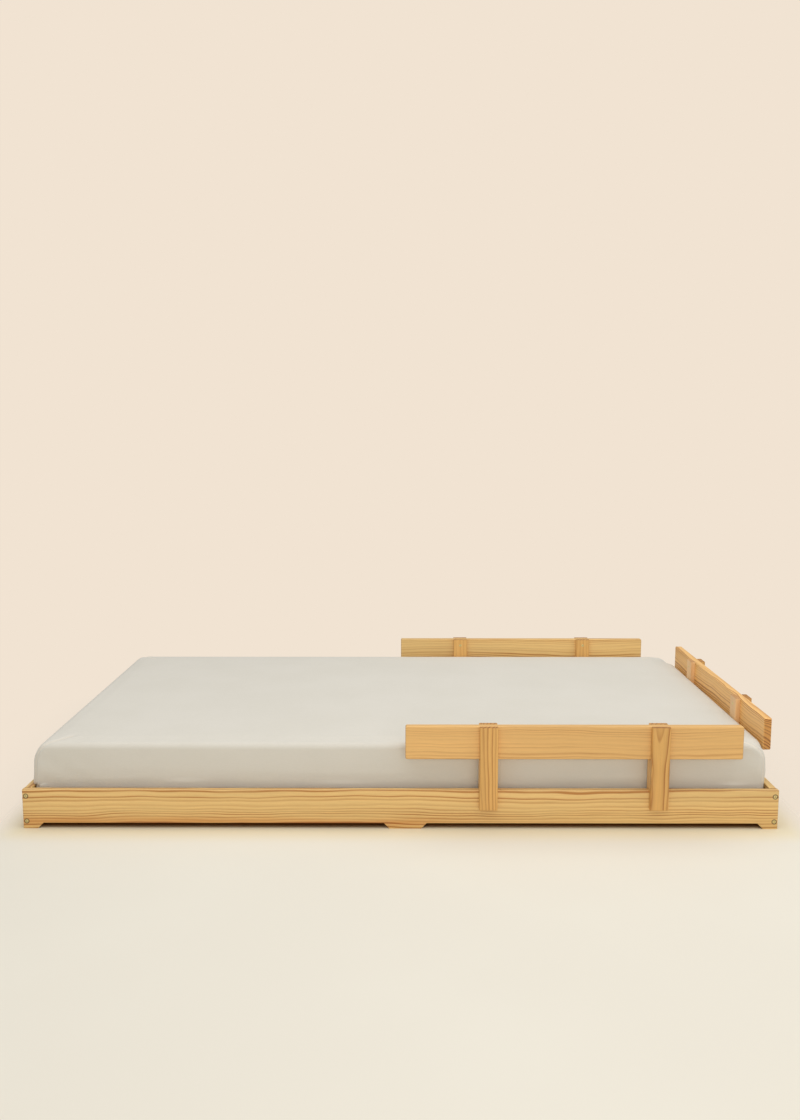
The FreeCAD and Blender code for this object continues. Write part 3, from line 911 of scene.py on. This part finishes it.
def outline_row(row, shrink):
    """One row's rounded rectangle as (x, y), its columns always in the same order."""
    _, foot, head, side, further = row
    x_from, x_to = foot_x + foot + shrink, head_x - head - shrink
    half_y = max(half_width - side - shrink, 0.0)
    rounder = 0.5 * min(max(foot, 0.0), 50 * MM)
    radius = min(corner_radius + rounder - shrink, half_y)
    middle, half_x = (x_from + x_to) / 2, (x_to - x_from) / 2
    x, y = half_x - radius, half_y - radius
    points = []
    for quarter, (sx, sy) in enumerate(((1, 1), (-1, 1), (-1, -1), (1, -1))):
        for angle in arc_angles:
            a = math.radians(angle + 90 * quarter)
            points.append((middle + sx * x + radius * math.cos(a), sy * y + radius * math.sin(a)))
        for share in straight_shares[quarter]:
            along_x, along_y = middle + share * x, share * y
            points.append(((along_x, half_y), (middle - half_x, along_y),
                           (along_x, -half_y), (middle + half_x, along_y))[quarter])
    # beside the rail the head end comes further out, and less so towards the foot end
    for i, (x, y) in enumerate(points):
        by_rail = ease(y, rail_low.y - 25 * MM, rail_low.y + 15 * MM)
        by_rail *= 1 - ease(y, rail_high.y - 30 * MM, rail_high.y + 20 * MM)
        points[i] = (x + further * by_rail * max(x - middle, 0.0) / max(half_x, MM), y)
    return points


seam_columns, column = [], 0
for shares, angle in zip(straight_shares, seam_angles):
    seam_columns.append(column + arc_angles.index(angle))
    column += len(arc_angles) + len(shares)
print(columns, "columns; the corner seams are columns", seam_columns)

# %% [markdown]
# The rows are closed into one skin. The first and the last row fall onto a line, so
# their points are shared, or the skin would have a slit.

# %% Close the rows into a mesh
def block_grid(shrink):
    """Points by row and column, the block made smaller all round by shrink."""
    grid = []
    for row in rows:
        lift = shrink * (1 - 2 * row[0] / block_height)
        z = block_low.z + row[0] + lift
        grid.append([Vector((x, y, z)) for x, y in outline_row(row, shrink)])
    return grid


def skin_of(grid):
    """(points, faces, index by row and column) of a grid of rows."""
    points, index, seen = [], [], {}
    for row in grid:
        line = []
        for point in row:
            key = tuple(round(v, 6) for v in point)
            if key not in seen:
                seen[key] = len(points)
                points.append(point)
            line.append(seen[key])
        index.append(line)
    faces = []
    for low, high in zip(index, index[1:]):
        for c in range(columns):
            d = (c + 1) % columns
            loop = []
            for corner in (low[c], low[d], high[d], high[c]):
                if corner not in loop:
                    loop.append(corner)
            if len(loop) > 2:
                faces.append(loop)
    return points, faces, index


def skin_object(name, points, faces):
    """A closed or open skin as an object, its mesh checked."""
    piece = mesh_object(name, points, faces=faces)
    piece.data.validate()
    piece.data.update()
    return piece


start_smaller = 3.0 * MM
points, faces, index = skin_of(block_grid(start_smaller))
mattress = skin_object("mattress_block", points, faces)
print("mattress:", len(points), "points,", len(faces), "faces")

# %% [markdown]
# ### Filling it
# A cloth simulation blows the slightly small cover up with air, as the foam would fill
# it. The cover bulges where it is widest, and the corners, which are short of cloth,
# stay back: this is what makes it look filled and not carved. Foam is much firmer than
# air, though, so the simulated shape isn't taken as it is. What each point has moved out
# by, against the usual move, is only added to the block's full-size shape as a low
# relief.

# %% Fill the cover with a cloth simulation
relief_cap = 1.3 * MM
last_frame = 20
cover_settings = {
    "quality": 4, "mass": 0.5, "tension_stiffness": 40, "compression_stiffness": 40,
    "shear_stiffness": 20, "bending_stiffness": 6.0,
    "use_pressure": True, "uniform_pressure_force": 4.0}
rest_normals = [v.normal.copy() for v in mattress.data.vertices]
blown_up = points
cloth = mattress.modifiers.new("filling", "CLOTH")
for name, value in cover_settings.items():
    setattr(cloth.settings, name, value)
cloth.settings.effector_weights.gravity = 0.0
cloth.collision_settings.use_collision = False
for frame_number in range(1, last_frame + 1):
    scene.frame_set(frame_number)
seen = mattress.evaluated_get(bpy.context.evaluated_depsgraph_get())
blown_up = [v.co.copy() for v in seen.data.vertices]
mattress.modifiers.remove(cloth)
scene.frame_set(1)
outward = [(a - b).dot(normal) for a, b, normal in zip(blown_up, points, rest_normals)]
ranked = sorted(outward)
quartiles = [round(ranked[i * (len(ranked) - 1) // 4] * 1000, 1) for i in range(5)]
print("the cover moves out by", quartiles, "mm")
usual = ranked[len(ranked) * 2 // 5]
filled = []
for point, normal, out in zip(points, rest_normals, outward):
    relief = relief_cap * math.tanh((out - usual) / relief_cap)
    filled.append(point + normal * (start_smaller + relief))

# %% [markdown]
# Each point is then kept off the wood. Between the boards the mattress ends just short
# of them, and only above them may its foot end swell. At the head end two battens stand
# in its way: there the foam gives, and the point moves back to just in front of them.

# %% Keep it within its place
batten_gap = 2.1 * MM            # between the foam and a batten's face
batten_flank = 1.5 * MM          # how far beside a batten the foam is still flat
hollow_slope = 1.1               # how steeply it comes out again beyond that


def kept_in_place(point, skin):
    """The point of a skin this thick, moved back inside the base and off the battens."""
    x = min(max(point.x, foot_x - foot_swell - skin), head_x + head_swell + skin)
    y = min(max(point.y, block_low.y - skin), block_high.y + skin)
    for low, high in battens:
        beside = max(low.y - point.y, point.y - high.y, 0.0)
        slack = max(beside - batten_flank, 0.0)
        x = min(x, low.x - batten_gap + skin + hollow_slope * slack)
    if point.z < side_high.z:
        x = min(max(x, foot_x - skin), head_x + skin)
    return Vector((x, y, max(point.z, block_low.z)))


filled = [kept_in_place(point, 0.0) for point in filled]

# %% [markdown]
# The underside is the only part of the cover that the sheet leaves bare. It is quilted
# in diamonds: sewn lines hold the cover to the foam, and the cloth stands up a little
# between them.

# %% Quilt the underside
quilt_step, quilt_fade = 150 * MM, 40 * MM
channel_depth, channel_width = 2.5 * MM, 9 * MM
underside = block_low.z + 2 * MM
for point in filled:
    if point.z > underside:
        continue
    lines_off = []
    for diagonal in (point.x + point.y, point.x - point.y):
        share = diagonal / quilt_step / math.sqrt(2)
        lines_off.append(abs(share - round(share)) * quilt_step)
    inside = min(point.x - foot_x, head_x - point.x,
                 point.y - block_low.y, block_high.y - point.y)
    depth = channel_depth * math.exp(-(min(lines_off) / channel_width) ** 2)
    point.z += depth * min(1.0, max(0.0, (inside - hem_width) / quilt_fade))
for vertex, point in zip(mattress.data.vertices, filled):
    vertex.co = point
set_smooth(mattress, True)
mattress.data.update()
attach(mattress, "mattress")
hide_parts("mattress")

# %% [markdown]
# ## Cloth finishes
# Both cloths are cotton, and cotton shows as a fine over-and-under of threads, small
# slubs and a soft sheen at grazing angles. The weave is a group with the thread's width
# as an input: fine and even for the sheet, coarser and diagonal for the mattress cover.

# %% Shader group: woven cotton
weave_inputs = [
    ("Place", "NodeSocketVector", (0, 0, 0)),
    ("Thread Width", "NodeSocketFloat", 0.0004),
    ("Diagonal", "NodeSocketFloat", 0.0),
    ("Cloth", "NodeSocketColor", (0.8, 0.8, 0.75, 1)),
    ("Shade", "NodeSocketColor", (0.7, 0.69, 0.64, 1)),
]
woven_cotton, given, result = new_group("Woven cotton", weave_inputs, surface_outputs)
tree = woven_cotton
place = given["Place"]
beat = calc(tree, "DIVIDE", math.pi, given["Thread Width"])
count_x, count_y, count_z = axes_of(tree, vector_calc(tree, "SCALE", place, beat))
warp = calc(tree, "ADD", count_x, product(tree, count_y, given["Diagonal"]))
weft = calc(tree, "ADD", count_y, count_z)
threads = product(tree, calc(tree, "SINE", warp), calc(tree, "SINE", weft))
slubs = noise_at(tree, vector_calc(tree, "MULTIPLY", place, (90.0, 700.0, 500.0)), 1.0, 2.0)
cross_slubs = noise_at(tree, vector_calc(tree, "MULTIPLY", place, (700.0, 90.0, 500.0)), 1.0, 2.0)
slubs = calc(tree, "ADD", slubs, cross_slubs)
soft = noise_at(tree, place, 5.0, 3.0, 0.5)
tone = calc(tree, "ADD", fade(tree, soft, 0.3, 0.7, 0.0, 0.45),
            fade(tree, slubs, 0.8, 1.2, 0.0, 0.3))
tone = calc(tree, "ADD", tone, product(tree, threads, 0.06))
height = calc(tree, "ADD", product(tree, threads, 0.5), product(tree, slubs, 0.35))
fill_in(tree, result, {
    "Color": mix_colors(tree, tone, given["Cloth"], given["Shade"]),
    "Roughness": fade(tree, slubs, 0.8, 1.2, 0.82, 0.94), "Height": height})


def cotton(name, cloth, shade, thread, diagonal, sheen, bump_height):
    """A cotton material of two tones, with threads of this width."""
    material, tree, shader = new_material(name)
    coords = add_node(tree, "ShaderNodeTexCoord").outputs["Object"]
    weave = add_node(tree, "ShaderNodeGroup", node_tree=woven_cotton, inputs={
        "Place": coords, "Thread Width": thread, "Diagonal": diagonal,
        "Cloth": cloth, "Shade": shade}).outputs
    bump = add_node(tree, "ShaderNodeBump",
                    {"Height": weave["Height"], "Strength": 0.35, "Distance": bump_height})
    fill_in(tree, shader, {
        "Base Color": weave["Color"], "Roughness": weave["Roughness"],
        "Normal": bump.outputs[0], "Sheen Weight": sheen, "Sheen Roughness": 0.5,
        "Specular IOR Level": 0.2})
    return material


sheet_cotton = cotton("sheet_percale", (0.70, 0.69, 0.64, 1), (0.66, 0.65, 0.592, 1),
                      thread=0.35 * MM, diagonal=0.0, sheen=0.15, bump_height=0.12 * MM)
cover_cotton = cotton("mattress_ticking", (0.78, 0.75, 0.68, 1), (0.66, 0.62, 0.54, 1),
                      thread=0.9 * MM, diagonal=1.0, sheen=0.1, bump_height=0.3 * MM)
finish_with(mattress, cover_cotton)
print("woven cotton:", len(woven_cotton.nodes), "nodes, 2 cloths")

# %% [markdown]
# ## The fitted sheet
# A fitted sheet is a rectangle with a square cut from each corner. Each cut is closed
# by a seam, which makes a box with open bottom, and an elastic in the hem draws it in
# under the mattress. So this sheet takes the filled mattress's own rows, from the hem
# below to the middle on top, a cloth's thickness further out. It then gets what cloth
# does: the seam draws a groove down each corner between two low ridges, small folds run
# from the seam, the elastic gathers the hem, and a little slack lies low on the sides.

# %% How far each column is from a corner seam
cloth_thickness = 1.2 * MM
half_cloth = cloth_thickness / 2
cover_normals = [v.normal.copy() for v in mattress.data.vertices]
middle_row = next(r for r, row in enumerate(rows) if row[0] > 60 * MM)


def beside_seam(c):
    """How far a column is from the nearest corner seam, with a sign for its side."""
    best = 1.0
    for s in seam_columns:
        a, b = filled[index[middle_row][c]], filled[index[middle_row][s]]
        distance = math.hypot(a.x - b.x, a.y - b.y)
        if distance < abs(best):
            best = distance if (c - s) % columns < columns / 2 else -distance
    return best


seam_distance = [beside_seam(c) for c in range(columns)]

# %% What the cloth does on its way down
seam_depth, seam_width = 3.0 * MM, 2.6 * MM
ridge_height, ridge_place, ridge_width = 0.8 * MM, 6.5 * MM, 2.4 * MM
fold_height, fold_run = 0.9 * MM, 70 * MM
slack_height, slack_line, slack_spread = 0.7 * MM, 52 * MM, 26 * MM
top_drift = 0.6 * MM
# (x, height, length, depth): where the slack gathers in a fold along the long sides
slack_folds = ((0.868, 41 * MM, 32 * MM, 3.6 * MM), (-0.575, 50 * MM, 50 * MM, 2.2 * MM),
               (0.27, 46 * MM, 70 * MM, 1.2 * MM), (-0.16, 44 * MM, 60 * MM, 1.4 * MM))


def bell(value, width):
    """1 at 0, falling to nothing on both sides within a few widths."""
    return math.exp(-(value / width) ** 2)


def cloth_offset(r, c, point):
    """How far the cloth stands off outwards at a row and column."""
    height, inset, away = rows[r][0], rows[r][3], seam_distance[c]
    if height <= 0:
        return 0.0
    offset = 0.0
    if inset < side_roll + 30 * MM:
        offset -= seam_depth * bell(away, seam_width)
        offset += ridge_height * bell(abs(away) - ridge_place, ridge_width)
    near_corner = math.exp(-abs(away) / fold_run) * min(1.0, abs(away) / (10 * MM))
    wander = 2.0 * noise.noise(point * 9)
    folds = math.sin(height / (10 * MM) + away / (19 * MM) + wander)
    side = math.sin(math.pi * min(height / block_height, 1.0))
    offset += fold_height * folds * near_corner * side
    slack = noise.noise(Vector((point.x * 3.3, point.y * 3.3, point.z * 60)))
    offset += slack_height * slack * bell(height - slack_line, slack_spread)
    if inset < side_roll and abs(point.y) > half_width - 30 * MM:
        for x, fold_at, length, depth in slack_folds:
            below = 1 - ease(height, fold_at - 4 * MM, fold_at + 3 * MM)
            offset += depth * bell(point.x - x, length) * below
    if inset > side_roll:
        drift = noise.noise(Vector((point.x * 2.1, point.y * 2.1, 7.7)))
        offset += top_drift * drift * min(1.0, (inset - side_roll) / (60 * MM))
    return offset


# %% Lay the sheet over the filled mattress
sheet_grid = []
for r in range(hem_row, len(rows)):
    line = []
    for c in range(columns):
        i = index[r][c]
        stand_off = half_cloth + cloth_offset(r, c, filled[i])
        line.append(kept_in_place(filled[i] + cover_normals[i] * stand_off, half_cloth))
    sheet_grid.append(line)
print("sheet grid:", len(sheet_grid), "rows of", columns)

# %% [markdown]
# The elastic gathers the hem in small, uneven scallops. They lie flat under the
# mattress, because its weight is on them.

# %% Gather the hem
gather_rows, gather_draw, gather_ripple = 8, 3.5 * MM, 7 * MM
for r in range(gather_rows):
    share = (1 - r / gather_rows) ** 1.5
    for point in sheet_grid[r]:
        inward = (Vector((block_middle.x, block_middle.y, point.z)) - point).normalized()
        ripple = noise.noise(Vector((point.x * 34, point.y * 34, 2.1)))
        point += inward * share * (gather_draw + gather_ripple * ripple)
for line in sheet_grid:
    for point in line:
        if point.z < block_low.z + 0.1 * MM:
            point.z = block_low.z - half_cloth
sheet_points, sheet_faces, _ = skin_of(sheet_grid)
sheet = skin_object("fitted_sheet_cloth", sheet_points, sheet_faces)
set_smooth(sheet, True)
thick = sheet.modifiers.new("cloth thickness", "SOLIDIFY")
thick.thickness = cloth_thickness
thick.offset = 0.0
thick.use_even_offset = True
finish_with(sheet, sheet_cotton)
print("sheet:", len(sheet_points), "points,", len(sheet_faces), "faces")

# %% [markdown]
# Stitches show along the hem and beside the corner seams. They are the smallest thing
# on the bed and there are hundreds of them, so a Geometry Nodes tree lays one short,
# five-sided thread after the other along a line of points.

# %% Geometry Nodes: stitches along a line
stitch_tree, given = new_geometry_tree("Stitches along lines", (
    ("Lines", "Geometry"), ("Stitch Spacing", "Float"), ("Stitch Length", "Float"),
    ("Thread Radius", "Float"), ("Seed", "Int"), ("Thread", "Material")))
tree = stitch_tree
curve = add_node(tree, "GeometryNodeMeshToCurve", {"Mesh": given["Lines"]})
marks = add_node(tree, "GeometryNodeCurveToPoints", mode="LENGTH", inputs={
    0: curve.outputs[0], "Length": given["Stitch Spacing"]})
bead = add_node(tree, "GeometryNodeMeshUVSphere",
                {"Segments": 5, "Rings": 4, "Radius": given["Thread Radius"]})
ratio = product(tree, given["Stitch Length"], 0.5)
ratio = calc(tree, "DIVIDE", ratio, given["Thread Radius"])
uneven = add_node(tree, "FunctionNodeRandomValue", data_type="FLOAT", inputs={
    RANDOM_LOW: 0.85, RANDOM_HIGH: 1.1, "Seed": given["Seed"]}).outputs[RANDOM_RESULT]
aimed = add_node(tree, "FunctionNodeAlignRotationToVector", {"Vector": marks.outputs["Tangent"]},
                 axis="Z")
copies_on_points(tree, marks.outputs[0], bead.outputs[0], aimed.outputs[0],
                 vector_of(tree, 1.0, 1.0, product(tree, ratio, uneven)), given["Thread"])

# %% Sewing thread
sewing_thread, tree, shader = new_material("sewing_thread")
ply = noise_at(tree, add_node(tree, "ShaderNodeTexCoord").outputs["Object"], 900.0, 2.0)
twist = add_node(tree, "ShaderNodeBump", {"Height": ply, "Strength": 0.3, "Distance": 0.05 * MM})
fill_in(tree, shader, {
    "Base Color": mix_colors(tree, ply, (0.80, 0.78, 0.72, 1), (0.62, 0.59, 0.52, 1)),
    "Roughness": fade(tree, ply, 0.3, 0.7, 0.6, 0.8), "Normal": twist.outputs[0]})

# %% Sew the hem and the corner seams
hem_line_row, columns_off_seam = 2, 2
thread_out = half_cloth + 0.1 * MM
lines, edges = [], []


def add_line(line, closed):
    """Add a line of points to sew along."""
    first = len(lines)
    lines.extend(line)
    edges.extend((first + i, first + i + 1) for i in range(len(line) - 1))
    if closed:
        edges.append((first + len(line) - 1, first))


add_line([point - Z * thread_out for point in sheet_grid[hem_line_row]], True)
for s in seam_columns:
    c = s - columns_off_seam
    sewn_rows = [r for r in range(hem_row, len(rows))
                 if rows[r][0] > 4 * MM and rows[r][3] < side_roll + 12 * MM]
    add_line([sheet_grid[r - hem_row][c] + cover_normals[index[r][c]] * thread_out
              for r in sewn_rows], False)
stitches = run_tree("fitted_sheet_stitches", mesh_object("stitch_lines", lines, edges),
                    stitch_tree, {
                        "Stitch Spacing": 3.4 * MM, "Stitch Length": 2.6 * MM,
                        "Thread Radius": 0.3 * MM, "Seed": 3, "Thread": sewing_thread})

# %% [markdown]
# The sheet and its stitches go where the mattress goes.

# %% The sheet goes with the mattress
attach(sheet, "mattress")
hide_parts("fitted_sheet")
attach(stitches, "mattress")

# %% [markdown]
# ## Bring the scene up to date

# %% Update the view layer
bpy.context.view_layer.update()
